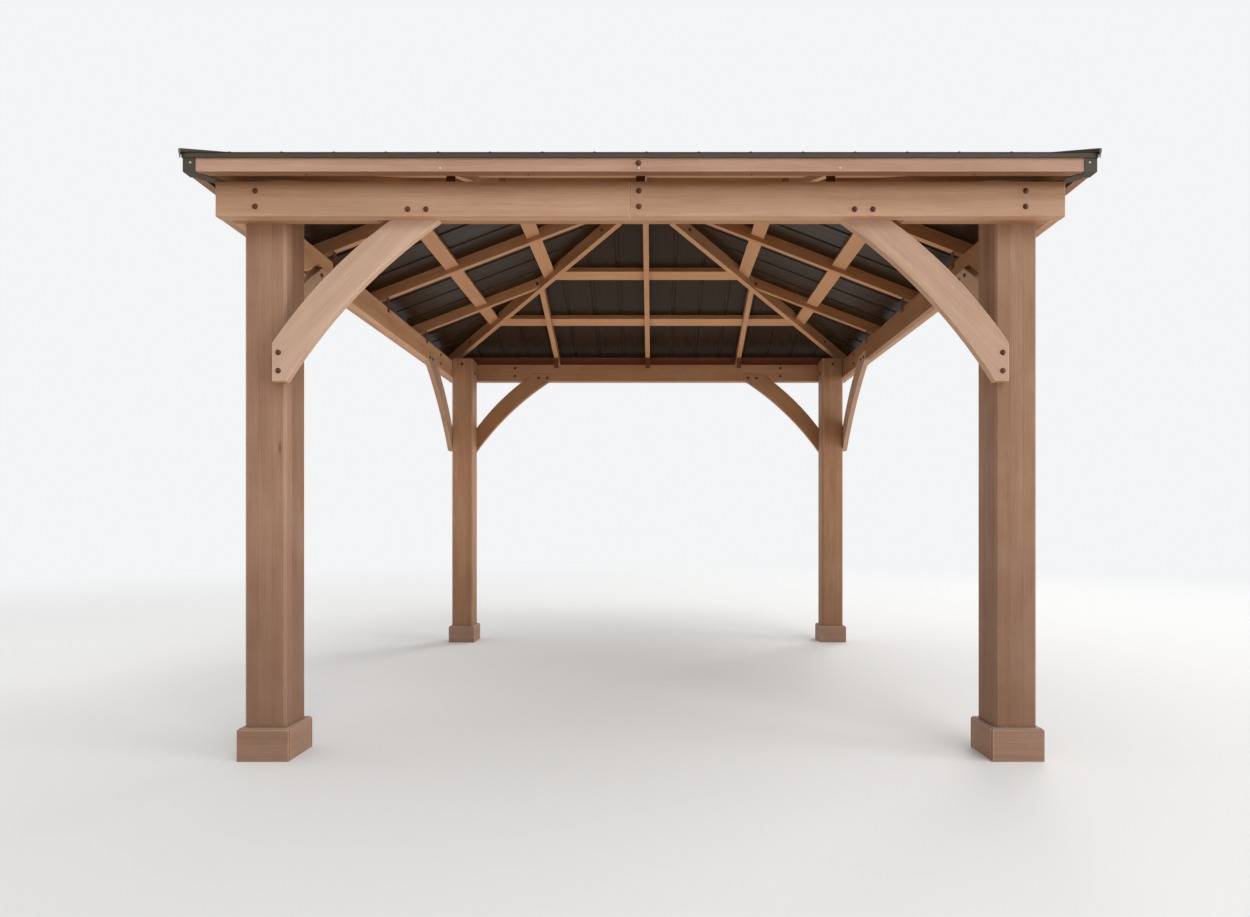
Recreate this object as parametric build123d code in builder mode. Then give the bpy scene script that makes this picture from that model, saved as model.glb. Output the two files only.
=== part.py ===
from build123d import *
from math import atan, cos, radians, sin, sqrt, tan
import os

os.makedirs("parts", exist_ok=True)

# A square hip-roofed timber gazebo, in millimetres.
# The origin is on the ground at the centre, the front looks along -Y and Z runs up.

# Posts
post_span = 3335.0
post_size = 172.0
post_easing = 8.0
post_rise = 17.0

# Boards round the foot of each post
base_board_thick = 22.0
base_board_height = 139.0
base_board_bevel = 8.0

# Ring beam of an inner board that lies on the posts and an outer board over it
beam_bottom = 2259.0
beam_height = 143.0
inner_board_thick = 38.0
outer_board_thick = 40.0
splice_offset = 43.0
board_easing = 3.0

# Curved braces let into pockets of the inner boards, all of one shape with a long and a short leg
brace_lap = 38.5
brace_long_leg = 740.0
brace_short_leg = 696.0
brace_long_cut = 158.0
brace_short_cut = 102.0
brace_long_tip = 58.0
brace_short_tip = 71.0
brace_outer_radius = 2064.0
brace_inner_radius = 2355.0
brace_easing = 2.5
pocket_play = 2.5

# Roof frame
eave_overhang = 84.5
pitch = 0.385
rafter_width = 38.0
rafter_depth = 67.0
jack_offset = 800.0
tie_drop = 27.0
tie_metal = 3.0
hip_width = 38.0
hip_extra_depth = 20.0
purlin_thick = 38.0
purlin_width = 89.0
purlin_setback = 562.0
purlin_spacing = 524.0
crown_span = 380.0
crown_wall = 38.0
crown_corner = 30.0

# Fascia and its metal edge
fascia_thick = 38.0
drip_stand_off = 6.5
drip_metal = 2.5
drip_below_sheet = 17.0

# Corner brackets under the hip tails
bracket_metal = 3.0
bracket_flange = 50.0
bracket_strip = 52.0

# Ribbed roof sheets and their caps
sheet_thick = 4.0
rib_spacing = 210.0
rib_width = 34.0
rib_height = 7.0
rib_taper = 25.0
rib_from_eave = 70.0
cap_gap = 3.0
cap_metal = 2.0
cap_flange = 60.0
cap_bead_width = 30.0
cap_bead_height = 14.0
cap_overhang = 4.0
cap_tab_width = 16.0
peak_lap = 10.0
peak_metal = 3.0

# Places that follow from the sizes
quarter_turn = 90.0
sides = ("front", "right", "rear", "left")
post_face = post_span / 2
post_centre = post_face - post_size / 2
post_inner = post_face - post_size
beam_top = beam_bottom + beam_height
beam_centre = beam_bottom + beam_height / 2
post_top = beam_top + post_rise
outer_board_back = post_face + inner_board_thick
ring_half = outer_board_back + outer_board_thick

slope = atan(pitch)
eave_half = ring_half + eave_overhang
fascia_face = eave_half - drip_stand_off
fascia_back = fascia_face - fascia_thick
fascia_bottom = beam_top + bracket_metal
crown_half = crown_span / 2
hip_half = hip_width / 2
peak_half = crown_half + peak_lap

brace_nose = post_inner + brace_lap - brace_short_leg
brace_top = beam_bottom + brace_short_tip
purlin_low = fascia_face - purlin_setback
purlin_high = purlin_low - purlin_spacing


def rafter_under(run):
    """Height of the rafters' undersides at a level distance from the centre."""
    return fascia_bottom + pitch * (fascia_face - run)


def sheet_under(run):
    """Height of the roof sheets' undersides at a level distance from the centre."""
    return rafter_under(run) + rafter_depth / cos(slope)


def along(turn):
    """Level direction along a side, the sides being counted anticlockwise from the front."""
    return Vector(cos(radians(quarter_turn * turn)), sin(radians(quarter_turn * turn)), 0)


def outward(turn):
    """Level direction straight out of a side."""
    return Vector(sin(radians(quarter_turn * turn)), -cos(radians(quarter_turn * turn)), 0)


def face_plane(turn, distance):
    """Upright plane of a side at a distance from the centre, x along the side and y up."""
    return Plane(origin=outward(turn) * distance, x_dir=along(turn), z_dir=outward(turn))


def section_plane(turn, place):
    """Upright plane across a side at a place along it, x outwards and y up."""
    return Plane(origin=along(turn) * place, x_dir=outward(turn), z_dir=-along(turn))


def floor_plane(turn, height):
    """Level plane of a side, y pointing out of the side."""
    return Plane(origin=(0, 0, height), x_dir=-along(turn), z_dir=(0, 0, 1))


def roof_plane(turn, lift):
    """Plane of one slope, lifted off the sheet's underside, y running up the slope to the apex."""
    normal = outward(turn) * sin(slope) + Vector(0, 0, cos(slope))
    return Plane(origin=Vector(0, 0, sheet_under(0)) + normal * lift, x_dir=along(turn), z_dir=normal)


def diagonal(turn):
    """Level direction to the corner between a side and the next one."""
    return (outward(turn) + outward(turn + 1)).normalized()


def hip_section(turn):
    """Upright plane along a diagonal, x outwards and y up."""
    across = (outward(turn) - outward(turn + 1)).normalized()
    return Plane(origin=(0, 0, 0), x_dir=diagonal(turn), z_dir=across)


def hip_line_plane(turn, run):
    """Plane square to a hip's line where the sheets' upper faces meet, y away from the roof."""
    height = sheet_under(run) + sheet_thick / cos(slope)
    corner = diagonal(turn) * (run * sqrt(2)) + Vector(0, 0, height)
    down_hip = diagonal(turn) * sqrt(2) - Vector(0, 0, pitch)
    return Plane(origin=corner, x_dir=outward(turn + 1) - outward(turn), z_dir=down_hip)


def hip_cheeks(turn, half_width):
    """The two upright planes that bound a slope, set back from its diagonals by half a hip."""
    right = (outward(turn) - along(turn)).normalized()
    left = (outward(turn) + along(turn)).normalized()
    return (Plane(origin=right * half_width, z_dir=right), Plane(origin=left * half_width, z_dir=left))


def is_at_front(turn, way):
    """Whether one end of a side stands at a front post."""
    return (outward(turn) + along(turn) * way).Y < 0


def brace_corners(way, long_leg_down):
    """The six corners of a brace, from the lower corner of its nose round by the top to its foot."""
    reach, drop = brace_short_leg, brace_long_leg
    top_cut, foot_cut = brace_short_cut, brace_long_cut
    nose_tip, foot_tip = brace_short_tip, brace_long_tip
    if not long_leg_down:
        reach, drop = drop, reach
        top_cut, foot_cut = foot_cut, top_cut
        nose_tip, foot_tip = foot_tip, nose_tip
    foot = brace_nose + reach
    bottom = brace_top - drop
    return [
        Vector(way * brace_nose, brace_top - nose_tip),
        Vector(way * brace_nose, brace_top),
        Vector(way * (brace_nose + top_cut), brace_top),
        Vector(way * foot, bottom + foot_cut),
        Vector(way * foot, bottom),
        Vector(way * (foot - foot_tip), bottom),
    ]


def arch_between(start, end, radius):
    """Shallow arc between two points that bulges upwards."""
    chord = end - start
    upward = Vector(-chord.Y, chord.X).normalized()
    upward = upward if upward.Y > 0 else -upward
    rise = radius - sqrt(radius**2 - (chord.length / 2) ** 2)
    return ThreePointArc(start, (start + end) * 0.5 + upward * rise, end)


def brace_outline(way, long_leg_down):
    """Face of a brace at one end of a side: two square-cut ends joined by two arcs."""
    nose, top, shoulder, heel, foot, toe = brace_corners(way, long_leg_down)
    with BuildSketch() as outline:
        with BuildLine():
            Polyline(nose, top, shoulder)
            arch_between(shoulder, heel, brace_outer_radius)
            Polyline(heel, foot, toe)
            arch_between(toe, nose, brace_inner_radius)
        make_face()
    return outline.sketch


def finish(piece, name):
    """Label a finished piece and write it out."""
    piece.part.label = name
    export_step(piece.part, f"parts/{name}.step")


# Square posts with eased corners
def make_post(side_x, side_y):
    with BuildPart() as post:
        with BuildSketch() as outline:
            with Locations((side_x * post_centre, side_y * post_centre)):
                Rectangle(post_size, post_size)
            chamfer(outline.vertices(), post_easing)
        extrude(amount=post_top)
    return post


finish(make_post(-1, -1), "post_front_left")
finish(make_post(1, -1), "post_front_right")
finish(make_post(-1, 1), "post_rear_left")
finish(make_post(1, 1), "post_rear_right")

# Foot boards with a bevelled upper edge, the wider pair of each post covering the ends of the other
collar_size = post_size + 2 * base_board_thick

with BuildPart() as base_boards_wide:
    with BuildSketch():
        with GridLocations(2 * post_centre, 2 * post_centre, 2, 2):
            Rectangle(collar_size, collar_size)
    extrude(amount=base_board_height)
    chamfer(base_boards_wide.faces().group_by(Axis.Z)[-1].edges(), base_board_bevel)
    with BuildSketch():
        with GridLocations(2 * post_centre, 2 * post_centre, 2, 2):
            Rectangle(collar_size, post_size)
    extrude(amount=base_board_height, mode=Mode.SUBTRACT)
finish(base_boards_wide, "base_boards_wide")

with BuildPart() as base_boards_narrow:
    with BuildSketch():
        with GridLocations(2 * post_centre, 2 * post_centre, 2, 2):
            Rectangle(collar_size, collar_size)
    extrude(amount=base_board_height)
    chamfer(base_boards_narrow.faces().group_by(Axis.Z)[-1].edges(), base_board_bevel)
    with BuildSketch():
        with GridLocations(2 * post_centre, 2 * post_centre, 2, 2):
            Rectangle(post_size, post_size)
            with GridLocations(collar_size, post_size + base_board_thick, 1, 2):
                Rectangle(collar_size, base_board_thick)
    extrude(amount=base_board_height, mode=Mode.SUBTRACT)
finish(base_boards_narrow, "base_boards_narrow")


# Outer beam boards, in two lengths a side with a butt joint beside the centre and eased edges
def make_outer_board(turn, start, end):
    with BuildPart() as board:
        with BuildSketch(face_plane(turn, outer_board_back)):
            with Locations(((start + end) / 2, beam_centre)):
                Rectangle(end - start, beam_height)
        extrude(amount=outer_board_thick)
        outer_face = board.faces().sort_by(lambda face: face.center().dot(outward(turn)))[-1]
        chamfer(outer_face.edges(), board_easing)
    return board


# Inner beam boards, one length a side, with a pocket at both ends for the tops of the braces. Each
# pocket is cut for a brace with its long leg along the beam.
def make_inner_board(turn, half_length):
    with BuildPart() as board:
        with BuildSketch(face_plane(turn, post_face)):
            with Locations((0, beam_centre)):
                Rectangle(2 * half_length, beam_height)
        extrude(amount=inner_board_thick)
        for way in (-1, 1):
            with BuildSketch(face_plane(turn, post_face)):
                add(brace_outline(way, long_leg_down=False))
                offset(amount=pocket_play, kind=Kind.INTERSECTION)
                with Locations((way * (brace_nose - pocket_play), brace_top + pocket_play)):
                    edge = Align.MIN if way > 0 else Align.MAX
                    Rectangle(brace_long_cut, beam_height, align=(edge, Align.MAX))
            extrude(amount=inner_board_thick, mode=Mode.SUBTRACT)
    return board


# The front and rear boards run past the ends of the side boards
for turn, side in enumerate(sides):
    runs_through = turn % 2 == 0
    outer_end = ring_half if runs_through else outer_board_back
    inner_end = outer_board_back if runs_through else post_face
    finish(make_outer_board(turn, -outer_end, -splice_offset), f"outer_beam_{side}_short")
    finish(make_outer_board(turn, -splice_offset, outer_end), f"outer_beam_{side}_long")
    finish(make_inner_board(turn, inner_end), f"inner_beam_{side}")


# A pair of curved braces on each side, from the posts' outer faces up into the pockets. They are all
# alike, but stand long leg down on the front posts and long leg along the beam at the rear posts.
def make_brace(turn, way):
    with BuildPart() as brace:
        with BuildSketch(face_plane(turn, post_face)):
            add(brace_outline(way, long_leg_down=is_at_front(turn, way)))
        extrude(amount=inner_board_thick)
        faces = brace.faces().sort_by(lambda face: face.center().dot(outward(turn)))
        chamfer(faces[0].edges() + faces[-1].edges(), brace_easing)
    return brace.part


def make_braces(turn):
    with BuildPart() as braces:
        add(make_brace(turn, -1))
        add(make_brace(turn, 1))
    return braces


for turn, side in enumerate(sides):
    finish(make_braces(turn), f"braces_{side}")


# Common rafter and two jacks on each slope, plumb-cut at both ends, with cheeks cut to the hips
def make_rafters(turn):
    with BuildPart() as rafters:
        for place in (-jack_offset, 0, jack_offset):
            with BuildSketch(section_plane(turn, place)):
                with BuildLine():
                    Polyline(
                        (crown_half, rafter_under(crown_half)),
                        (fascia_back, rafter_under(fascia_back)),
                        (fascia_back, sheet_under(fascia_back)),
                        (crown_half, sheet_under(crown_half)),
                        close=True,
                    )
                make_face()
            extrude(amount=rafter_width / 2, both=True)
        for cheek in hip_cheeks(turn, hip_half):
            split(bisect_by=cheek, keep=Keep.TOP)
    return rafters


# Metal ties that hold each rafter up off the ring: a plate on the inner board's inner face with its
# upper end cut to the pitch
def make_rafter_tie(turn, place):
    tie_face = post_face - tie_metal
    with BuildPart() as tie:
        with BuildSketch(section_plane(turn, place)):
            with BuildLine():
                Polyline(
                    (post_face, beam_top - tie_drop),
                    (tie_face, beam_top - tie_drop),
                    (tie_face, rafter_under(tie_face)),
                    (post_face, rafter_under(post_face)),
                    close=True,
                )
            make_face()
        extrude(amount=rafter_width / 2, both=True)
    return tie.part


with BuildPart() as rafter_ties:
    for turn in range(len(sides)):
        for place in (-jack_offset, 0, jack_offset):
            add(make_rafter_tie(turn, place))
finish(rafter_ties, "rafter_ties")


# Flat purlins let in between the rafters, flush with their upper edges
def make_purlins(turn):
    with BuildPart() as purlins:
        with BuildSketch(roof_plane(turn, 0)):
            with Locations((0, -purlin_low / cos(slope)), (0, -purlin_high / cos(slope))):
                Rectangle(2 * fascia_back, purlin_width)
        extrude(amount=-purlin_thick)
        with BuildSketch(roof_plane(turn, 0)):
            with GridLocations(jack_offset, fascia_back, 3, 1):
                Rectangle(rafter_width, 2 * fascia_back / cos(slope))
        extrude(amount=-purlin_thick, mode=Mode.SUBTRACT)
        for cheek in hip_cheeks(turn, hip_half):
            split(bisect_by=cheek, keep=Keep.TOP)
    return purlins


for turn, side in enumerate(sides):
    finish(make_rafters(turn), f"rafters_{side}")
    finish(make_purlins(turn), f"purlins_{side}")


# Hip rafters, deeper than the rafters, with a flat top under the sheets' edges, a level seat over
# the ring's corner and a pointed tail in the corner of the fascia
def make_hip(turn):
    hip_start = (crown_half - crown_corner / 2) * sqrt(2)
    hip_seat = (post_face - post_easing / 2) * sqrt(2)
    hip_end = fascia_back * sqrt(2)
    edge_drop = pitch * hip_half / sqrt(2)
    with BuildPart() as hip:
        with BuildSketch(hip_section(turn)):
            with BuildLine():
                Polyline(
                    (hip_start, rafter_under(hip_start / sqrt(2)) - hip_extra_depth),
                    (hip_seat, rafter_under(hip_seat / sqrt(2)) - hip_extra_depth),
                    (hip_seat, fascia_bottom),
                    (hip_end, fascia_bottom),
                    (hip_end, sheet_under(hip_end / sqrt(2)) - edge_drop),
                    (hip_start, sheet_under(hip_start / sqrt(2)) - edge_drop),
                    close=True,
                )
            make_face()
        extrude(amount=hip_half, both=True)
        for neighbour in (turn, turn + 1):
            split(bisect_by=face_plane(neighbour, fascia_back), keep=Keep.BOTTOM)
    return hip


hips = [make_hip(turn).part for turn in range(len(sides))]

with BuildPart() as hip_rafters_front:
    add(hips[0])
    add(hips[3])
finish(hip_rafters_front, "hip_rafters_front")

with BuildPart() as hip_rafters_rear:
    add(hips[1])
    add(hips[2])
finish(hip_rafters_rear, "hip_rafters_rear")

# Crown frame that the upper ends of the hips and common rafters bear on
crown_bottom = rafter_under(crown_half)

with BuildPart() as crown:
    with BuildSketch(Plane.XY.offset(crown_bottom)) as crown_outline:
        Rectangle(crown_span, crown_span)
        chamfer(crown_outline.vertices(), crown_corner)
        Rectangle(crown_span - 2 * crown_wall, crown_span - 2 * crown_wall, mode=Mode.SUBTRACT)
    extrude(amount=sheet_under(0) - crown_bottom)
    for turn in range(len(sides)):
        split(bisect_by=roof_plane(turn, 0), keep=Keep.BOTTOM)
finish(crown, "crown")


hem_bottom = sheet_under(eave_half) - drip_below_sheet


# Mitred fascia boards with their upper edge bevelled to the pitch
def make_fascias(turn, mirror_plane):
    with BuildPart() as fascias:
        with BuildSketch(floor_plane(turn, fascia_bottom)):
            with BuildLine():
                Polyline(
                    (-fascia_face, fascia_face),
                    (fascia_face, fascia_face),
                    (fascia_back, fascia_back),
                    (-fascia_back, fascia_back),
                    close=True,
                )
            make_face()
        extrude(amount=sheet_under(fascia_back) - fascia_bottom)
        split(bisect_by=roof_plane(turn, 0), keep=Keep.BOTTOM)
        mirror(about=mirror_plane)
    return fascias


# Metal edge hung from the sheets in front of the fascia, with a hem back to the board
def make_drip_edges(turn, mirror_plane):
    with BuildPart() as drip:
        with BuildSketch(section_plane(turn, 0)):
            with BuildLine():
                Polyline(
                    (fascia_face, hem_bottom),
                    (eave_half, hem_bottom),
                    (eave_half, sheet_under(eave_half)),
                    (eave_half - drip_metal, sheet_under(eave_half - drip_metal)),
                    (eave_half - drip_metal, hem_bottom + drip_metal),
                    (fascia_face, hem_bottom + drip_metal),
                    close=True,
                )
            make_face()
        extrude(amount=eave_half, both=True)
        for mitre in hip_cheeks(turn, 0):
            split(bisect_by=mitre, keep=Keep.TOP)
        mirror(about=mirror_plane)
    return drip


finish(make_fascias(0, Plane.XZ), "fascias_front_rear")
finish(make_fascias(1, Plane.YZ), "fascias_sides")
finish(make_drip_edges(0, Plane.XZ), "drip_edges_front_rear")
finish(make_drip_edges(1, Plane.YZ), "drip_edges_sides")

# Corner brackets: a strip from the post's corner over the ring and under the hip's tail, turned up
# into two flanges round the fascia's corner
bracket_start = (post_face - post_easing / 2) * sqrt(2)
bracket_end = fascia_back * sqrt(2)
bracket_face = fascia_face + bracket_metal

with BuildPart() as corner_bracket:
    with BuildSketch(Plane(origin=(0, 0, beam_top), x_dir=diagonal(0), z_dir=(0, 0, 1))):
        with Locations(((bracket_start + bracket_end) / 2, 0)):
            Rectangle(bracket_end - bracket_start, bracket_strip)
    extrude(amount=bracket_metal)
    with BuildSketch(Plane.XY.offset(beam_top)):
        with Locations((bracket_face, -bracket_face)):
            Rectangle(bracket_flange, bracket_flange, align=(Align.MAX, Align.MIN))
    extrude(amount=bracket_metal)
    with BuildSketch(Plane.XY.offset(beam_top)):
        with Locations((bracket_face, -bracket_face)):
            Rectangle(bracket_flange, bracket_flange, align=(Align.MAX, Align.MIN))
        with Locations((fascia_face, -fascia_face)):
            Rectangle(bracket_flange, bracket_flange, align=(Align.MAX, Align.MIN), mode=Mode.SUBTRACT)
    extrude(amount=hem_bottom - beam_top)

with BuildPart() as corner_brackets:
    with PolarLocations(0, len(sides)):
        add(corner_bracket.part)
finish(corner_brackets, "corner_brackets")


# Triangular roof sheets, pressed into hollow ribs that run up the slope
def make_roof_sheet(turn):
    eave_run = eave_half / cos(slope)
    rib_count = int(eave_half / rib_spacing)
    inset = sheet_thick * (1 - tan(radians(rib_taper)))
    with BuildPart() as sheet:
        with BuildSketch(roof_plane(turn, 0)):
            with BuildLine():
                Polyline((0, 0), (-eave_half, -eave_run), (eave_half, -eave_run), close=True)
            make_face()
        extrude(amount=sheet_thick)
        for number in range(-rib_count, rib_count + 1):
            place = number * rib_spacing
            hip_reach = abs(place) + rib_width / 2 + (cap_flange + cap_gap) * sqrt(2)
            upper = max(hip_reach, peak_half + cap_gap) / cos(slope)
            lower = eave_run - rib_from_eave
            if lower - upper > 2 * rib_width:
                middle = (place, -(lower + upper) / 2)
                with BuildSketch(roof_plane(turn, sheet_thick)):
                    with Locations(middle):
                        Rectangle(rib_width, lower - upper)
                extrude(amount=rib_height, taper=rib_taper)
                with BuildSketch(roof_plane(turn, 0)):
                    with Locations(middle):
                        Rectangle(rib_width - 2 * inset, lower - upper - 2 * inset)
                extrude(amount=rib_height, taper=rib_taper, mode=Mode.SUBTRACT)
    return sheet


for turn, side in enumerate(sides):
    finish(make_roof_sheet(turn), f"roof_sheet_{side}")

# Hip caps: two flanges that lie on the sheets, and a raised bead that ends past the corner in a tab
# folded down over the ends of the drip edges
cap_run = eave_half + cap_overhang
hip_rise = sqrt(2 + pitch**2)
sheet_dihedral = 1 / sqrt((1 + cos(slope) ** 2) / 2)
flange_drop = sqrt(sheet_dihedral**2 - 1)

with BuildPart() as hip_cap:
    with BuildSketch(hip_line_plane(0, cap_run)):
        with BuildLine():
            Polyline(
                (0, 0),
                (cap_flange, -cap_flange * flange_drop),
                (cap_flange, -cap_flange * flange_drop + cap_metal),
                (0, cap_metal),
                (-cap_flange, -cap_flange * flange_drop + cap_metal),
                (-cap_flange, -cap_flange * flange_drop),
                close=True,
            )
        make_face()
    extrude(amount=-cap_run * hip_rise)
    for neighbour in (0, 1):
        split(bisect_by=face_plane(neighbour, eave_half), keep=Keep.BOTTOM)
    with BuildSketch(hip_line_plane(0, cap_run)):
        with BuildLine():
            Polyline(
                (-cap_bead_width / 2, -cap_bead_width / 2 * flange_drop),
                (0, 0),
                (cap_bead_width / 2, -cap_bead_width / 2 * flange_drop),
                (cap_bead_width / 2, cap_bead_height / 2),
            )
            ThreePointArc(
                (cap_bead_width / 2, cap_bead_height / 2),
                (0, cap_bead_height),
                (-cap_bead_width / 2, cap_bead_height / 2),
            )
            Line(
                (-cap_bead_width / 2, cap_bead_height / 2),
                (-cap_bead_width / 2, -cap_bead_width / 2 * flange_drop),
            )
        make_face()
    extrude(amount=-cap_run * hip_rise)
    with BuildSketch(Plane(origin=(0, 0, hem_bottom), x_dir=diagonal(0), z_dir=(0, 0, 1))):
        with Locations((cap_run * sqrt(2), 0)):
            Rectangle(cap_metal, cap_tab_width, align=(Align.MAX, Align.CENTER))
    extrude(amount=sheet_under(cap_run) + sheet_thick / cos(slope) + cap_metal - hem_bottom)
    with BuildSketch():
        Rectangle(2 * peak_half, 2 * peak_half)
    extrude(amount=2 * sheet_under(0), mode=Mode.SUBTRACT)

with BuildPart() as hip_caps:
    with PolarLocations(0, len(sides)):
        add(hip_cap.part)
finish(hip_caps, "hip_caps")

# Peak cap: a folded square pyramid that lies on the sheets between the hip caps
with BuildPart() as peak_core:
    with BuildSketch(Plane.XY.offset(crown_bottom)):
        Rectangle(4 * peak_half, 4 * peak_half)
    extrude(amount=2 * peak_half)
    for turn in range(len(sides)):
        split(bisect_by=roof_plane(turn, sheet_thick), keep=Keep.BOTTOM)

with BuildPart() as peak_cap:
    with BuildSketch(Plane.XY.offset(crown_bottom)):
        Rectangle(2 * peak_half, 2 * peak_half)
    extrude(amount=2 * peak_half)
    for turn in range(len(sides)):
        split(bisect_by=roof_plane(turn, sheet_thick + peak_metal), keep=Keep.BOTTOM)
    add(peak_core.part, mode=Mode.SUBTRACT)
finish(peak_cap, "peak_cap")
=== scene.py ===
import math

import bpy
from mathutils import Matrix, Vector


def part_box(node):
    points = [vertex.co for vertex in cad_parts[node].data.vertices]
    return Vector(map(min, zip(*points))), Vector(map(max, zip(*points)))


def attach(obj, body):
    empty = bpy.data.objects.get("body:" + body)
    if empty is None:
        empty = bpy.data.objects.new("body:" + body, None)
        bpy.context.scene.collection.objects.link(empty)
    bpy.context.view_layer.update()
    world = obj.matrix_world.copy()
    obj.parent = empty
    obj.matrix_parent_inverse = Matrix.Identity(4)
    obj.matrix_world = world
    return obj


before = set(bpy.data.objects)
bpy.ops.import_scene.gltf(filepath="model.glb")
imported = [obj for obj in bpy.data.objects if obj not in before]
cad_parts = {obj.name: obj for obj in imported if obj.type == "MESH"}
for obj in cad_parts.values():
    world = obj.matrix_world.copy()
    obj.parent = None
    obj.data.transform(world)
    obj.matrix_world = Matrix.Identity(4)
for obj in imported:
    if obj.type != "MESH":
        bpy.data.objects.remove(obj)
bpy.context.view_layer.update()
scene = bpy.context.scene

# Sizes read from the frame, in metres
post_low, post_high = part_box("post_front_right")
beam_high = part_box("outer_beam_front_long")[1]
brace_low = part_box("braces_front")[0]
fascia_low, fascia_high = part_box("fascias_front_rear")
bracket_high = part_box("corner_brackets")[1]
sheet_low, sheet_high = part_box("roof_sheet_front")

RING_FACE = beam_high.x
POST_FACE = post_high.x
POST_INNER = post_low.x
POST_CENTRE = (POST_FACE + POST_INNER) / 2
BEAM_TOP = beam_high.z
BRACE_FACE = -brace_low.y
FASCIA_FACE = fascia_high.y
FASCIA_BOTTOM = fascia_low.z
BRACKET_FACE = bracket_high.x
EAVE = sheet_high.x
EAVE_HEIGHT = sheet_low.z

# Slope of the roof, thickness of its sheets, half the width of its rafters and the spacing between them
PITCH = 0.385
SLOPE = math.atan(PITCH)
SHEET_THICK = 0.004
HALF_RAFTER = 0.019
RAFTER_SPACING = 0.8

QUARTER = math.pi / 2
SIDES = ("front", "right", "rear", "left")


def outward(turn):
    """Level direction straight out of a side, the sides counted anticlockwise from the front."""
    return Vector((math.sin(QUARTER * turn), -math.cos(QUARTER * turn), 0))


def along(turn):
    """Level direction along a side."""
    return Vector((math.cos(QUARTER * turn), math.sin(QUARTER * turn), 0))


def on_side(turn, place, distance, height):
    """Point on a side: along it, out from the centre, and up."""
    return along(turn) * place + outward(turn) * distance + Vector((0, 0, height))


def sheet_under(run):
    """Height of the sheets' undersides at a level distance from the centre."""
    return EAVE_HEIGHT + PITCH * (EAVE - run)


def sheet_top(run):
    """Height of the sheets' upper faces at a level distance from the centre."""
    return sheet_under(run) + SHEET_THICK / math.cos(SLOPE)


# Materials

def srgb(red, green, blue):
    """Linear colour of an eight-bit display colour."""
    return tuple((channel / 255) ** 2.2 for channel in (red, green, blue)) + (1.0,)


class Nodes:
    """Short calls that add and link the shader nodes of a tree. A value is a socket or a constant."""

    def __init__(self, tree):
        self.tree = tree
        self.tree.nodes.clear()

    def add(self, kind, **settings):
        node = self.tree.nodes.new(kind)
        for key, value in settings.items():
            setattr(node, key, value)
        return node

    def link(self, source, target):
        self.tree.links.new(source, target)

    def feed(self, socket, value):
        if isinstance(value, bpy.types.NodeSocket):
            self.link(value, socket)
        else:
            socket.default_value = value

    def math(self, operation, *values, clamp=False):
        node = self.add("ShaderNodeMath", operation=operation, use_clamp=clamp)
        for socket, value in zip(node.inputs, values):
            self.feed(socket, value)
        return node.outputs[0]

    def plus(self, first, second, clamp=False):
        return self.math("ADD", first, second, clamp=clamp)

    def minus(self, first, second):
        return self.math("SUBTRACT", first, second)

    def times(self, first, second, clamp=False):
        return self.math("MULTIPLY", first, second, clamp=clamp)

    def times_plus(self, first, second, third):
        return self.math("MULTIPLY_ADD", first, second, third)

    def dot(self, vector, direction):
        node = self.add("ShaderNodeVectorMath", operation="DOT_PRODUCT")
        self.link(vector, node.inputs[0])
        self.feed(node.inputs[1], direction)
        return node.outputs["Value"]

    def split(self, vector):
        node = self.add("ShaderNodeSeparateXYZ")
        self.link(vector, node.inputs[0])
        return list(node.outputs)

    def combine(self, *values):
        node = self.add("ShaderNodeCombineXYZ")
        for socket, value in zip(node.inputs, values):
            self.feed(socket, value)
        return node.outputs[0]

    def noise(self, vector, scale=1.0, detail=2.0, roughness=0.5):
        node = self.add("ShaderNodeTexNoise", noise_dimensions="3D")
        self.link(vector, node.inputs["Vector"])
        node.inputs["Scale"].default_value = scale
        node.inputs["Detail"].default_value = detail
        node.inputs["Roughness"].default_value = roughness
        return node.outputs["Fac"]

    def ramp(self, value, *stops):
        """Colour of a value between stops, each a (place, colour)."""
        node = self.add("ShaderNodeValToRGB")
        self.link(value, node.inputs[0])
        elements = node.color_ramp.elements
        while len(elements) < len(stops):
            elements.new(0.5)
        for element, (place, colour) in zip(elements, stops):
            element.position = place
            element.color = colour
        return node.outputs["Color"]

    def mix(self, share, first, second):
        """The first colour at share 0 and the second at share 1."""
        node = self.add("ShaderNodeMix", data_type="RGBA")
        for name, kind, value in (("Factor", "VALUE", share), ("A", "RGBA", first), ("B", "RGBA", second)):
            wanted = (socket for socket in node.inputs if (socket.name, socket.type) == (name, kind))
            self.feed(next(wanted), value)
        return next(socket for socket in node.outputs if socket.type == "RGBA")

    def mix_shader(self, share, first, second):
        """The first shader node at share 0 and the second at share 1."""
        node = self.add("ShaderNodeMixShader")
        for socket, source in zip(node.inputs, (share, first.outputs[0], second.outputs[0])):
            self.link(source, socket)
        return node

    def smooth(self, value, low, high):
        """Smooth step from 0 at low to 1 at high."""
        node = self.add("ShaderNodeMapRange", interpolation_type="SMOOTHSTEP")
        self.feed(node.inputs["Value"], value)
        node.inputs["From Min"].default_value = low
        node.inputs["From Max"].default_value = high
        return node.outputs["Result"]


def new_material(name):
    """A material and the calls that fill its empty tree."""
    material = bpy.data.materials.new(name)
    material.use_nodes = True
    return material, Nodes(material.node_tree)


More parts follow.
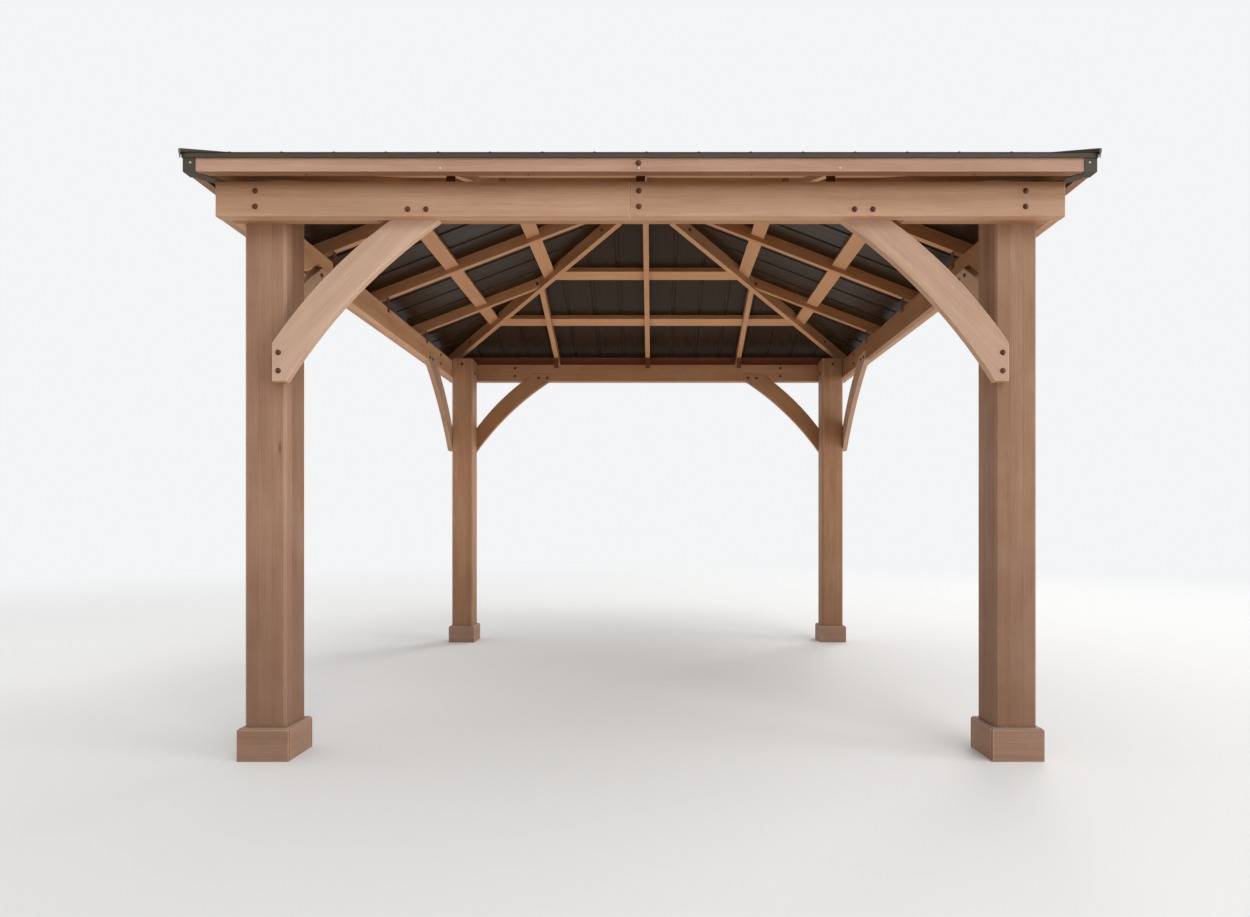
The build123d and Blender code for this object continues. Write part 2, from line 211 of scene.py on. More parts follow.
def finish_surface(nodes, colour, roughness, gloss, height, bump_shape, metallic=0.0):
    """Link up the surface of a material. bump_shape is the (strength, distance) of its bump."""
    shader = nodes.add("ShaderNodeBsdfPrincipled")
    nodes.link(colour, shader.inputs["Base Color"])
    nodes.link(roughness, shader.inputs["Roughness"])
    shader.inputs["Metallic"].default_value = metallic
    shader.inputs["Specular IOR Level"].default_value = gloss
    bump = nodes.add("ShaderNodeBump")
    strength, distance = bump_shape
    bump.inputs["Strength"].default_value = strength
    bump.inputs["Distance"].default_value = distance
    nodes.link(height, bump.inputs["Height"])
    nodes.link(bump.outputs[0], shader.inputs["Normal"])
    output = nodes.add("ShaderNodeOutputMaterial")
    nodes.link(shader.outputs[0], output.inputs[0])


# Stained softwood: deep, middle and pale tones of the grain, for each kind of piece. Some kinds have lighter
# and darker copies that stand in for how the light falls on them: painted light and painted shade
POST_TONES = (srgb(117, 87, 70), srgb(138, 107, 89), srgb(159, 129, 111))
# Warmer, more saturated copy of the post tones, painted shade, for the rear right post
SHADED_REAR_POST_TONES = (srgb(126, 90, 66), srgb(148, 112, 86), srgb(168, 134, 109))
# Lighter copy of the post tones, painted light, for the rear left post
LIT_REAR_POST_TONES = (srgb(140, 102, 78), srgb(164, 126, 100), srgb(185, 150, 124))
BASE_TONES = (srgb(116, 90, 75), srgb(134, 107, 92), srgb(152, 125, 110))
BEAM_TONES = (srgb(152, 118, 97), srgb(176, 144, 123), srgb(196, 168, 149))
INNER_TONES = (srgb(138, 99, 72), srgb(162, 123, 96), srgb(182, 147, 122))
# Lighter copy of the inner beam tones, painted light, for the left side's inner beam
LIT_INNER_TONES = (srgb(166, 125, 97), srgb(192, 152, 122), srgb(212, 177, 147))
# Darker copy of the inner beam tones, painted shade, for the right side's inner beam
SHADED_INNER_TONES = (srgb(122, 84, 55), srgb(144, 105, 73), srgb(162, 126, 93))
BRACE_TONES = (srgb(155, 127, 109), srgb(175, 148, 131), srgb(194, 169, 154))
# Darker copy of the brace tones, painted shade, for the rear braces
SHADED_BRACE_TONES = (srgb(138, 99, 70), srgb(158, 119, 88), srgb(177, 140, 111))
FASCIA_TONES = (srgb(146, 112, 97), srgb(170, 137, 121), srgb(190, 161, 146))
FRAME_TONES = (srgb(148, 102, 71), srgb(172, 129, 97), srgb(192, 153, 122))
# Darker copy of the frame tones, painted shade, for the right rafters and the front purlins and hips
SHADED_FRAME_TONES = (srgb(133, 86, 53), srgb(155, 108, 73), srgb(174, 130, 92))

# Layers of the grain: scale along it, scale across it, and detail
BROAD_STREAKS = (0.30, 14.0, 2.0)
BLOTCHES = (2.4, 8.0, 3.0)
MIDDLE_STREAKS = (1.1, 64.0, 3.0)
FINE_STREAKS = (6.0, 330.0, 3.0)
STREAK_ROUGHNESS = 0.6

# Growth rings: how close they lie, how they slant through the board, and how far the broad streaks push them
RING_RATE = 780.0
RING_SLANT = 0.6
RING_WAVER = 18.0

# How the grain wanders: scale along it, scale across it, detail and reach in metres
DRIFT_ALONG = 1.3
DRIFT_ACROSS = 4.0
DRIFT_DETAIL = 2.0
DRIFT_REACH = 0.06

# How far apart the cuts of neighbouring boards lie in the grain, in metres
BOARD_SHIFT = 9.0

# Weights of the layers in the tone, and where on their sum the deep, middle and pale tones lie
BROAD_WEIGHT = 0.36
BLOTCH_WEIGHT = 0.30
MIDDLE_WEIGHT = 0.14
FINE_WEIGHT = 0.28
RING_WEIGHT = 0.05
TONE_PLACES = (0.36, 0.565, 0.77)

# Knots: scales of their cells, heart and rim, the part of the cells without one, and their colour
KNOT_ALONG = 2.2
KNOT_ACROSS = 10.0
KNOT_RIM = (0.02, 0.09)
KNOT_RARITY = 0.80
KNOT_COLOUR = srgb(100, 62, 40)
KNOT_SHARE = 0.7

# End grain, on faces that are turned this much along the grain
END_FACING = 0.8
END_COLOUR = srgb(132, 92, 64)
END_SHARE = 0.7

# Glue lines: from their middle to their edge
SEAM_EDGE = (0.0004, 0.0016)
SEAM_COLOUR = srgb(84, 56, 38)
SEAM_SHARE = 0.32

# Weathered patches
WEATHER_SCALE = 2.6
WEATHER_DETAIL = 4.0
WEATHER_ROUGHNESS = 0.6
WEATHER_START = 0.48
WEATHER_GAIN = 1.1
DUST_COLOUR = srgb(168, 146, 128)

# Arrises, worn pale and with a painted highlight: their width, and how far the rounded normal leaves the flat
# one before they turn pale
EDGE_RADIUS = 0.005
EDGE_SAMPLES = 3
EDGE_FADE = (0.01, 0.15)
EDGE_WEAR_HIGHLIGHT_COLOUR = srgb(220, 193, 172)

# Darker foot of a post: the heights between which it fades in, and how ragged that fade is
FOOT_FADE = (1.45, 0.25)
FOOT_RAGGED = 0.3
FOOT_COLOUR = srgb(104, 76, 60)
FOOT_SHARE = 0.55

# Faces that look down or back to the centre, which get painted light and painted shade: the part of the
# normal at which their colour starts and is full
TURNED_OVER = (-0.5, -0.9)
# Painted shade on the fascias' undersides
FASCIA_UNDERSIDE_SHADE = (srgb(108, 72, 48), 0.6)
# Painted light on the frame's undersides
FRAME_UNDERSIDE_LIGHT = (srgb(206, 166, 134), 0.45)
# Painted shade on the fascias' inner faces
FASCIA_INNER_SHADE = (srgb(116, 56, 24), 0.85)

# Painted shade on a strip at the top of the outer beams, under the eaves: its lower and upper edge, colour
# and share
EAVE_SHADE = (BEAM_TOP - 0.046, BEAM_TOP, srgb(118, 76, 42), 0.85)

# Sheen and relief of the wood
WOOD_ROUGHNESS = 0.50
WOOD_UNEVEN = 0.22
WOOD_GLOSS = 0.3
RING_RELIEF = 0.25
MIDDLE_RELIEF = 0.6
WOOD_BUMP = (0.25, 0.0012)


def away_from_centre(nodes, normal, parts, axis):
    """How far a face looks away from the centre along an axis: 1 straight out, -1 straight back."""
    return nodes.times(normal[axis], nodes.math("SIGN", parts[axis]))


def board_value(nodes, parts, cell, seed):
    """Random value from 0 to 1 that is the same all over a board."""
    steps = []
    for axis, size, shift in cell:
        steps.append(nodes.math("FLOOR", nodes.times_plus(parts[axis], 1 / size, shift)))
    steps += [seed] * (3 - len(steps))
    white = nodes.add("ShaderNodeTexWhiteNoise", noise_dimensions="3D")
    nodes.link(nodes.combine(*steps), white.inputs["Vector"])
    return white.outputs["Value"]


def stretched(nodes, place, along_scale, across_scale):
    """A place in the grain, scaled along the grain and across it."""
    scales = (along_scale, across_scale, across_scale)
    return nodes.combine(*(nodes.times(part, scale) for part, scale in zip(place, scales)))


def streaks(nodes, place, layer):
    """One layer of the grain, which is (scale along, scale across, detail)."""
    along_scale, across_scale, detail = layer
    drawn = stretched(nodes, place, along_scale, across_scale)
    return nodes.noise(drawn, detail=detail, roughness=STREAK_ROUGHNESS)


def knots(nodes, place):
    """Share of sparse small knots with a dark heart."""
    cells = nodes.add("ShaderNodeTexVoronoi", feature="F1", voronoi_dimensions="3D")
    nodes.link(stretched(nodes, place, KNOT_ALONG, KNOT_ACROSS), cells.inputs["Vector"])
    cells.inputs["Scale"].default_value = 1.0
    chance = nodes.add("ShaderNodeSeparateColor")
    nodes.link(cells.outputs["Color"], chance.inputs[0])
    heart = nodes.minus(1.0, nodes.smooth(cells.outputs["Distance"], *KNOT_RIM))
    chosen = nodes.math("GREATER_THAN", chance.outputs[0], KNOT_RARITY)
    return nodes.times(nodes.times(heart, chosen), KNOT_SHARE)


def worn_highlit_arrises(nodes, middle, wear):
    """Share of the arrises that are worn pale and carry a painted highlight, more so where the middle streaks
    are strong.
    """
    rounded = nodes.add("ShaderNodeBevel", samples=EDGE_SAMPLES)
    rounded.inputs["Radius"].default_value = EDGE_RADIUS
    flat = nodes.add("ShaderNodeNewGeometry")
    alike = nodes.dot(rounded.outputs[0], flat.outputs["Normal"])
    worn_and_lit = nodes.smooth(nodes.minus(1.0, alike), *EDGE_FADE)
    return nodes.times(worn_and_lit, nodes.times(middle, wear), clamp=True)


def wood(name, grain, across, seed, tones, fold=(), cell=(), seams=(), board_spread=0.10, under=None,
         inner=None, foot=None, wear=1.2, sheltered=None):
    """Stained wood whose grain runs along a direction of the frame.

    across is a direction square to the grain. fold lists the axes that are mirrored about the centre, cell
    the (axis, length, shift) steps of which each is a board of its own, board_spread how far their tones
    differ, and seams the glue lines as (axis, place). under is the (colour, share) on faces that look down:
    painted light where it is lighter, as on the frame, and painted shade where it is darker, as on the
    fascias; inner the (axis, colour, share) of painted shade on those that look back to the centre; foot the
    colour that a post darkens to towards the ground; and wear how pale the arrises are, worn
    and with a painted highlight. sheltered is the (lowest, highest, colour, share) of a strip of painted
    shade under the eaves.
    """
    material, nodes = new_material(name)
    coords = nodes.add("ShaderNodeTexCoord")
    parts = nodes.split(coords.outputs["Object"])
    normal = nodes.split(coords.outputs["Normal"])
    axes, turned = list(parts), list(normal)
    for axis in fold:
        axes[axis] = nodes.math("ABSOLUTE", parts[axis])
        turned[axis] = away_from_centre(nodes, normal, parts, axis)
    place = nodes.combine(*axes)
    grain = Vector(grain).normalized()
    across = Vector(across)
    across = (across - grain * across.dot(grain)).normalized()
    lengthwise, crosswise, depthwise = (nodes.dot(place, way) for way in (grain, across, grain.cross(across)))

    # Each board has its own cut and its own tone
    board, start = None, seed
    if cell:
        board = board_value(nodes, parts, cell, seed)
        start = nodes.times_plus(board, BOARD_SHIFT, seed)

    # The grain wanders slowly along the board
    drift_place = nodes.combine(
        nodes.times(lengthwise, DRIFT_ALONG),
        nodes.times(crosswise, DRIFT_ACROSS),
        nodes.times_plus(depthwise, DRIFT_ACROSS, start),
    )
    drift = nodes.minus(nodes.noise(drift_place, detail=DRIFT_DETAIL), 0.5)
    crosswise = nodes.times_plus(drift, DRIFT_REACH, crosswise)
    depthwise = nodes.plus(depthwise, start)
    in_grain = (lengthwise, crosswise, depthwise)

    broad = streaks(nodes, in_grain, BROAD_STREAKS)
    blotch = streaks(nodes, in_grain, BLOTCHES)
    middle = streaks(nodes, in_grain, MIDDLE_STREAKS)
    fine = streaks(nodes, in_grain, FINE_STREAKS)
    slanted = nodes.plus(crosswise, nodes.times(depthwise, RING_SLANT))
    ring_place = nodes.times_plus(broad, RING_WAVER, nodes.times(slanted, RING_RATE))
    rings = nodes.times_plus(nodes.math("SINE", ring_place), 0.5, 0.5)

    value = nodes.times(broad, BROAD_WEIGHT)
    value = nodes.times_plus(blotch, BLOTCH_WEIGHT, value)
    value = nodes.times_plus(middle, MIDDLE_WEIGHT, value)
    value = nodes.times_plus(fine, FINE_WEIGHT, value)
    value = nodes.times_plus(rings, RING_WEIGHT, value)
    if board is not None:
        value = nodes.times_plus(nodes.minus(board, 0.5), board_spread, value)
    colour = nodes.ramp(value, *zip(TONE_PLACES, tones))
    colour = nodes.mix(knots(nodes, in_grain), colour, KNOT_COLOUR)

    # Darker end grain where a face is square to the grain
    facing = nodes.math("ABSOLUTE", nodes.dot(nodes.combine(*turned), grain))
    end_share = nodes.times(nodes.math("GREATER_THAN", facing, END_FACING), END_SHARE)
    colour = nodes.mix(end_share, colour, END_COLOUR)

    # Glue lines of laminated pieces
    for axis, at in seams:
        offset = nodes.math("ABSOLUTE", nodes.minus(parts[axis], at))
        line = nodes.minus(1.0, nodes.smooth(offset, *SEAM_EDGE))
        colour = nodes.mix(nodes.times(line, SEAM_SHARE), colour, SEAM_COLOUR)

    # Light weathering in soft patches
    patches = nodes.noise(place, scale=WEATHER_SCALE, detail=WEATHER_DETAIL, roughness=WEATHER_ROUGHNESS)
    weather = nodes.times(nodes.minus(patches, WEATHER_START), WEATHER_GAIN, clamp=True)
    colour = nodes.mix(weather, colour, DUST_COLOUR)

    # Painted light and shade on faces that look down or back to the centre and on a strip under the eaves,
    # and a foot that darkens towards the ground
    if under:
        under_colour, under_share = under
        down = nodes.times(nodes.smooth(normal[2], *TURNED_OVER), under_share)
        colour = nodes.mix(down, colour, under_colour)
    if inner:
        axis, inner_colour, inner_share = inner
        back = nodes.smooth(away_from_centre(nodes, normal, parts, axis), *TURNED_OVER)
        colour = nodes.mix(nodes.times(back, inner_share), colour, inner_colour)
    if sheltered:
        lowest, highest, eave_shade_colour, eave_shade_share = sheltered
        eave_shade_mix = nodes.times(nodes.smooth(parts[2], lowest, highest), eave_shade_share)
        colour = nodes.mix(eave_shade_mix, colour, eave_shade_colour)
    if foot:
        ragged = nodes.times_plus(patches, FOOT_RAGGED, parts[2])
        darker_foot = nodes.times(nodes.smooth(ragged, *FOOT_FADE), FOOT_SHARE)
        colour = nodes.mix(darker_foot, colour, foot)

    # Paler arrises: partly wear and partly a painted highlight
    colour = nodes.mix(worn_highlit_arrises(nodes, middle, wear), colour, EDGE_WEAR_HIGHLIGHT_COLOUR)
    roughness = nodes.times_plus(middle, WOOD_UNEVEN, WOOD_ROUGHNESS)
    height = nodes.times_plus(rings, RING_RELIEF, nodes.times_plus(middle, MIDDLE_RELIEF, fine))
    finish_surface(nodes, colour, roughness, WOOD_GLOSS, height, WOOD_BUMP)
    return material


# Dust and grit on painted metal, its uneven sheen, and the lines that rolling leaves in a sheet. On the
# sheets the dust is drawn into streaks whose lighter colour is partly a painted sheen
METAL_DUST_SCALE = 4.0
METAL_DUST_DETAIL = 5.0
METAL_DUST_ROUGHNESS = 0.6
METAL_DUST_START = 0.45
METAL_DUST_GAIN = 0.9
GRIT_DETAIL = 3.0
GRIT_WEIGHT = 0.5
METAL_UNEVEN = 0.30
METAL_BUMP = (0.12, 0.0008)
ROLLED_BUMP = (0.6, 0.0008)
ROLL_SCALE = 11.0
ROLL_DETAIL = 1.0


def coated_metal(name, base, worn_and_lit, roughness, speckle=60.0, metallic=0.0, stretch=(1, 1, 1), rolled=0.0,
                 gloss=0.3):
    """Painted metal with faint dust and an uneven sheen. Where stretch draws the dust out into streaks, their
    lighter colour is partly dust and partly a painted sheen.

    speckle is the scale of the grit and rolled the depth of the rolling lines, which run along the axes
    that stretch draws out.
    """
    material, nodes = new_material(name)
    place = nodes.add("ShaderNodeTexCoord").outputs["Object"]
    drawn = nodes.combine(*(nodes.times(part, factor) for part, factor in zip(nodes.split(place), stretch)))
    dust = nodes.noise(
        drawn, scale=METAL_DUST_SCALE, detail=METAL_DUST_DETAIL, roughness=METAL_DUST_ROUGHNESS
    )
    grit = nodes.noise(place, scale=speckle, detail=GRIT_DETAIL)
    dust_and_sheen = nodes.minus(nodes.times_plus(grit, GRIT_WEIGHT, dust), METAL_DUST_START)
    # Colour from dust; on the sheets the dust is drawn into streaks that are partly a painted sheen
    colour = nodes.mix(nodes.times(dust_and_sheen, METAL_DUST_GAIN, clamp=True), base, worn_and_lit)
    sheen = nodes.times_plus(dust, METAL_UNEVEN, roughness - METAL_UNEVEN / 2)
    height = nodes.times_plus(nodes.noise(drawn, scale=ROLL_SCALE, detail=ROLL_DETAIL), rolled, grit)
    finish_surface(nodes, colour, sheen, gloss, height, ROLLED_BUMP if rolled else METAL_BUMP, metallic)
    return material


def dress(node, material):
    """Give a CAD node its material in every slot."""
    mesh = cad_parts[node].data
    if not mesh.materials:
        mesh.materials.append(material)
    for index in range(len(mesh.materials)):
        mesh.materials[index] = material


def dress_wood(node, label, grain, across, seed, tones, **marks):
    """Give a CAD node a wood of its own."""
    dress(node, wood(f"wood_{label}", grain, across, seed, tones, **marks))


# Directions of the frame
X, Y, Z = (1, 0, 0), (0, 1, 0), (0, 0, 1)

# Each kind of piece has a place of its own in the grain
SEEDS = {
    "posts": 0.31,
    "base_boards_wide": 5.2,
    "base_boards_narrow": 6.4,
    "short": 7.1,
    "long": 11.6,
    "inner_beams": 15.3,
    "braces": 19.8,
    "rafters": 24.1,
    "purlins": 28.7,
    "hip_rafters": 33.3,
    "crown": 36.2,
    "fascias_front_rear": 38.9,
    "fascias_sides": 40.4,
}

# Steps from board to board: from one collar to the next, from one row of purlins to the next, and one so
# long that it only parts the two halves of the gazebo
COLLAR_STEP = 1.7
ROW_STEP = 1.0
HALF_STEP = 10.0

# How far the tones of neighbouring boards differ, and how pale the posts' arrises are, worn and with a
# painted highlight
POST_SPREAD = 0.16
BRACE_SPREAD = -0.22
POST_WEAR_AND_HIGHLIGHT = 0.7

# Posts, each laminated from three boards
HALF_LAMINATE = 0.029
# The rear posts take copies of the post tones with painted shade (right) and painted light (left)
for number, (name, right, back, tones) in enumerate(
    (
        ("post_front_left", -1, -1, POST_TONES),
        ("post_front_right", 1, -1, POST_TONES),
        ("post_rear_left", -1, 1, LIT_REAR_POST_TONES),
        ("post_rear_right", 1, 1, SHADED_REAR_POST_TONES),
    )
):
    centres = ((0, right * POST_CENTRE), (1, back * POST_CENTRE))
    lines = [(axis, centre + side * HALF_LAMINATE) for axis, centre in centres for side in (-1, 1)]
    layers = [(axis, 2 * HALF_LAMINATE, 0.5 - centre / (2 * HALF_LAMINATE)) for axis, centre in centres]
    marks = {"cell": layers, "seams": lines, "board_spread": POST_SPREAD}
    dress_wood(
        name, name, Z, X, SEEDS["posts"] + number, tones, foot=FOOT_COLOUR, wear=POST_WEAR_AND_HIGHLIGHT, **marks
    )

# Collars of boards round the posts, each board to one side of its post's centre
for width, grain, axis in (("wide", X, 0), ("narrow", Y, 1)):
    name = f"base_boards_{width}"
    cell = [(place, COLLAR_STEP, 0.5) if place == axis else (place, POST_CENTRE, 0) for place in (0, 1)]
    dress_wood(name, f"base_{width}", grain, Z, SEEDS[name], BASE_TONES, cell=cell)

# Beams, braces, rafters and purlins, side by side
for turn, side in enumerate(SIDES):
    level = X if turn % 2 == 0 else Y
    level_axis, other_axis = turn % 2, 1 - turn % 2

    for length in ("short", "long"):
        name, label = f"outer_beam_{side}_{length}", f"outer_{side}_{length}"
        # The outer beams take a strip of painted shade at their tops, under the eaves
        dress_wood(name, label, level, Z, SEEDS[length] + turn, BEAM_TONES, sheltered=EAVE_SHADE)

    # The left side's inner beam takes lighter tones, painted light, and the right side's darker ones, painted
    # shade
    tones = {"left": LIT_INNER_TONES, "right": SHADED_INNER_TONES}.get(side, INNER_TONES)
    dress_wood(f"inner_beam_{side}", f"inner_{side}", level, Z, SEEDS["inner_beams"] + turn, tones)

    # The braces rise towards the middle of their side at about half a right angle
    rise = (-1, 0, 1) if turn % 2 == 0 else (0, -1, 1)
    square = (-rise[0], -rise[1], 1)
    # The rear braces take darker tones: painted shade
    tones = SHADED_BRACE_TONES if side == "rear" else BRACE_TONES
    marks = {"fold": (level_axis,), "cell": ((level_axis, HALF_STEP, 0),), "board_spread": BRACE_SPREAD}
    dress_wood(f"braces_{side}", f"braces_{side}", rise, square, SEEDS["braces"] + turn, tones, **marks)

    up_slope = outward(turn) * -1 + Vector((0, 0, PITCH))
    # The right side's rafters take darker tones, painted shade, and all rafters take painted light on their
    # undersides
    tones = SHADED_FRAME_TONES if side == "right" else FRAME_TONES
    marks = {"cell": ((level_axis, RAFTER_SPACING, 0.5),), "under": FRAME_UNDERSIDE_LIGHT}
    dress_wood(f"rafters_{side}", f"rafters_{side}", up_slope, Z, SEEDS["rafters"] + turn, tones, **marks)

    # The front purlins take darker tones, painted shade, and all purlins take painted light on their
    # undersides
    tones = SHADED_FRAME_TONES if side == "front" else FRAME_TONES
    marks = {"cell": ((level_axis, RAFTER_SPACING, 0), (other_axis, ROW_STEP, 0)), "under": FRAME_UNDERSIDE_LIGHT}
    name = f"purlins_{side}"
    dress_wood(name, name, level, outward(turn), SEEDS["purlins"] + turn, tones, **marks)

# Hips, crown and fascias
for side, sign in (("front", -1), ("rear", 1)):
    climb = Vector((-1, -sign, PITCH))
    # The front hips take darker tones, painted shade, and all hips take painted light on their undersides
    tones = SHADED_FRAME_TONES if side == "front" else FRAME_TONES
    marks = {"fold": (0,), "cell": ((0, HALF_STEP, 0),), "under": FRAME_UNDERSIDE_LIGHT}
    dress_wood(f"hip_rafters_{side}", f"hips_{side}", climb, Z, SEEDS["hip_rafters"] + sign, tones, **marks)
# The crown takes painted light on its underside
dress_wood("crown", "crown", X, Z, SEEDS["crown"], FRAME_TONES, under=FRAME_UNDERSIDE_LIGHT)
for name, grain, axis in (("fascias_front_rear", X, 1), ("fascias_sides", Y, 0)):
    # The fascias take painted shade on their undersides and on their inner faces
    marks = {"cell": ((axis, HALF_STEP, 0),), "under": FASCIA_UNDERSIDE_SHADE, "inner": (axis, *FASCIA_INNER_SHADE)}
    dress_wood(name, name, grain, Z, SEEDS[name], FASCIA_TONES, **marks)

# Painted metal. The sheets' rolling lines run up the slope: along Y on the front and rear, along X on the
# sides. Their noise is squeezed across the lines and drawn out along them, and the lighter streaks it draws
# in the sheets' colour are partly dust and partly a painted sheen
ROOF_TONES = (srgb(43, 31, 17), srgb(58, 45, 29))
SQUEEZED = 4.5
DRAWN_OUT = 0.12
ROLL_DEPTH = 4.0
BOLT_SPECKLE = 400.0
SCREW_SPECKLE = 500.0

slope_paints = [
    coated_metal(name, *ROOF_TONES, roughness=0.36, stretch=stretch, rolled=ROLL_DEPTH, gloss=0.2)
    for name, stretch in (
        ("roof_paint_y", (SQUEEZED, DRAWN_OUT, DRAWN_OUT)),
        ("roof_paint_x", (DRAWN_OUT, SQUEEZED, DRAWN_OUT)),
    )
]
cap_paint = coated_metal("cap_paint", *ROOF_TONES, roughness=0.45)
edge_paint = coated_metal("edge_paint", srgb(63, 60, 53), srgb(79, 75, 67), roughness=0.6)
tie_paint = coated_metal("tie_paint", srgb(96, 58, 38), srgb(118, 78, 56), roughness=0.5)
bolt_paint = coated_metal(
    "bolt_paint", srgb(72, 38, 24), srgb(112, 70, 50), roughness=0.42, speckle=BOLT_SPECKLE
)
# Pale zinc screws, whose pale colour is partly a painted glint
screw_zinc_and_glint = coated_metal(
    "screw_zinc_and_glint", srgb(196, 190, 180), srgb(172, 164, 152),
    roughness=0.35, speckle=SCREW_SPECKLE, metallic=0.6,
)
screw_paint = coated_metal(
    "screw_paint", srgb(70, 62, 54), srgb(96, 86, 76), roughness=0.4, speckle=SCREW_SPECKLE
)
for turn, side in enumerate(SIDES):
    dress(f"roof_sheet_{side}", slope_paints[turn % 2])
for name in ("hip_caps", "peak_cap"):
    dress(name, cap_paint)
for name in ("drip_edges_front_rear", "drip_edges_sides", "corner_brackets"):
    dress(name, edge_paint)
dress("rafter_ties", tie_paint)


# Bolts and screws, each kind joined in one mesh. A profile is (radius, height) from the rim to the middle

BOLT_STEPS = 20
BOLT_RADIUS = 0.0115
WASHER_THICK = 0.0022
HEAD_RADIUS = 0.0074
HEAD_RISE = 0.0060
BOLT_PROFILE = (
    (BOLT_RADIUS, 0.0),
    (BOLT_RADIUS, WASHER_THICK * 0.7),
    (BOLT_RADIUS * 0.94, WASHER_THICK),
    (HEAD_RADIUS, WASHER_THICK),
    (HEAD_RADIUS, WASHER_THICK + HEAD_RISE * 0.6),
    (HEAD_RADIUS * 0.72, WASHER_THICK + HEAD_RISE * 0.95),
    (HEAD_RADIUS * 0.3, WASHER_THICK + HEAD_RISE),
)
SCREW_STEPS = 14
SCREW_RADIUS = 0.0046
SCREW_RISE = 0.0020
SCREW_PROFILE = (
    (SCREW_RADIUS, 0.0),
    (SCREW_RADIUS * 0.92, SCREW_RISE * 0.6),
    (SCREW_RADIUS * 0.5, SCREW_RISE),
)
ROOF_SCREW_STEPS = 12
SEAL_RADIUS = 0.0075
SEAL_THICK = 0.0016
HEX_RADIUS = 0.0048
HEX_RISE = 0.0038
ROOF_SCREW_PROFILE = (
    (SEAL_RADIUS, 0.0),
    (SEAL_RADIUS * 0.9, SEAL_THICK),
    (HEX_RADIUS, SEAL_THICK),
    (HEX_RADIUS, SEAL_THICK + HEX_RISE * 0.8),
    (HEX_RADIUS * 0.75, SEAL_THICK + HEX_RISE),
)


def add_turned(vertices, faces, centre, normal, profile, steps):
    """Add a turned form with this profile to the vertices and faces of a mesh."""
    normal = Vector(normal).normalized()
    side = normal.orthogonal().normalized()
    other = normal.cross(side)
    first = len(vertices)
    for radius, height in profile:
        for step in range(steps):
            angle = 2 * math.pi * step / steps
            offset = side * (radius * math.cos(angle)) + other * (radius * math.sin(angle))
            vertices.append(Vector(centre) + offset + normal * height)
    rows = len(profile)
    for row in range(rows - 1):
        for step in range(steps):
            here = first + row * steps + step
            beside = first + row * steps + (step + 1) % steps
            faces.append((here, beside, beside + steps, here + steps))
    faces.append(tuple(first + (rows - 1) * steps + step for step in range(steps)))
    faces.append(tuple(first + step for step in reversed(range(steps))))


def fasteners(name, places, profile, steps, material):
    """One mesh of like fasteners at (centre, normal) places."""
    vertices, faces = [], []
    for centre, normal in places:
        add_turned(vertices, faces, centre, normal, profile, steps)
    mesh = bpy.data.meshes.new(name)
    mesh.from_pydata([tuple(vertex) for vertex in vertices], [], faces)
    mesh.materials.append(material)
    mesh.polygons.foreach_set("use_smooth", [len(polygon.vertices) == 4 for polygon in mesh.polygons])
    mesh.update()
    piece = bpy.data.objects.new(name, mesh)
    scene.collection.objects.link(piece)
    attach(piece, "root")


# Places of the bolts along a side, their heights, and how far they sit below or behind an edge. The foot of
# a brace is bolted a little higher and further out on the rear posts than on the front ones
BEAM_BOLT_DROPS = (0.040, 0.104)
BEAM_CENTRE_BOLT = -0.006
BRACE_NOSE_BOLTS = (0.880, 0.955)
BRACE_NOSE_HEIGHT = 2.287
FRONT_FOOT_PLACE = 1.507
FRONT_FOOT_HEIGHTS = (1.709, 1.633)
REAR_FOOT_PLACE = 1.547
REAR_FOOT_HEIGHTS = (1.753, 1.677)
SPLICE_PLACE = 1.163
SPLICE_DROPS = (0.029, 0.099)
POST_BOLT_DROPS = (0.029, 0.094)
FASCIA_BOLT_RISE = 0.033
HIP_BOLT_RUNS = (0.288, 1.495)
HIP_BOLT_DROP = 0.047
JACK_BOLT_SETBACK = 0.018
JACK_BOLT_DROP = 0.043

